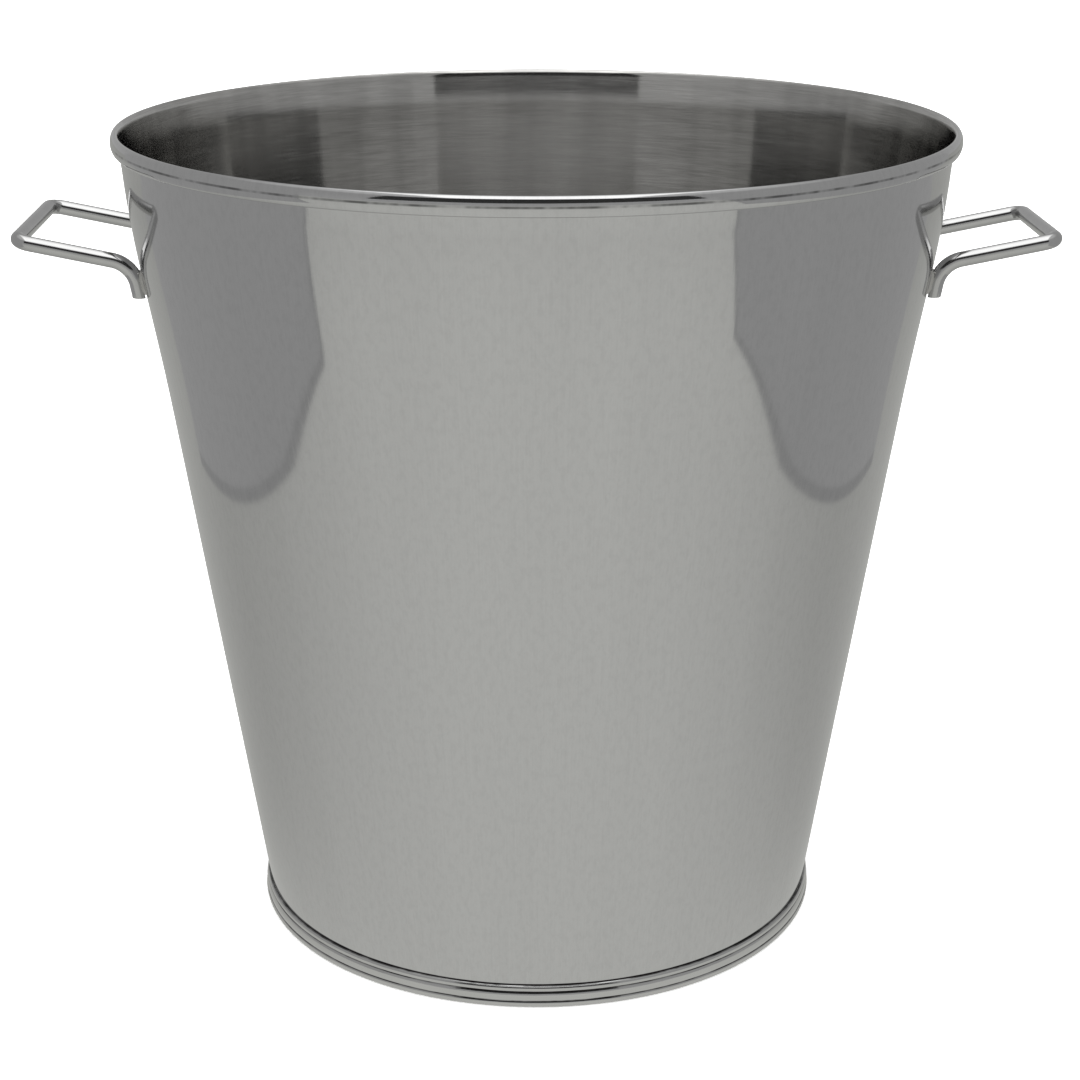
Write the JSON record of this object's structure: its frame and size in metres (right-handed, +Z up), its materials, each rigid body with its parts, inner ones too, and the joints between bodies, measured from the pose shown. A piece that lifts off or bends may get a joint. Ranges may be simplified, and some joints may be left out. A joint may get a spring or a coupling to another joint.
{
  "type": "champagne bucket",
  "caption": "Tapered round champagne bucket in polished stainless steel, with a rolled rim, a moulded foot ring and fixed wire loop handles on opposite sides",
  "frame": {"origin": "on the axis of the bucket, in the plane it stands on, at the centre of the foot", "axes": "+Z up along the axis of the bucket, +X out through the right handle, -X out through the left handle, -Y towards the viewer"},
  "size_m": [0.2582, 0.21, 0.2074],
  "materials": {
    "body_steel": "mirror polished outside, brushed round inside",
    "foot_steel": "mirror polished",
    "handle_wire": "mirror polished drawn wire",
    "braze_filler": "satin fillet of filler metal"
  },
  "bodies": {
    "root": {"bucket_body": "body_steel", "foot_ring": "foot_steel", "foot_braze_seam": "braze_filler", "handle_left": "handle_wire", "handle_right": "handle_wire", "braze_left_front": "braze_filler", "braze_left_rear": "braze_filler", "braze_right_front": "braze_filler", "braze_right_rear": "braze_filler"}
  },
  "joints": []
}
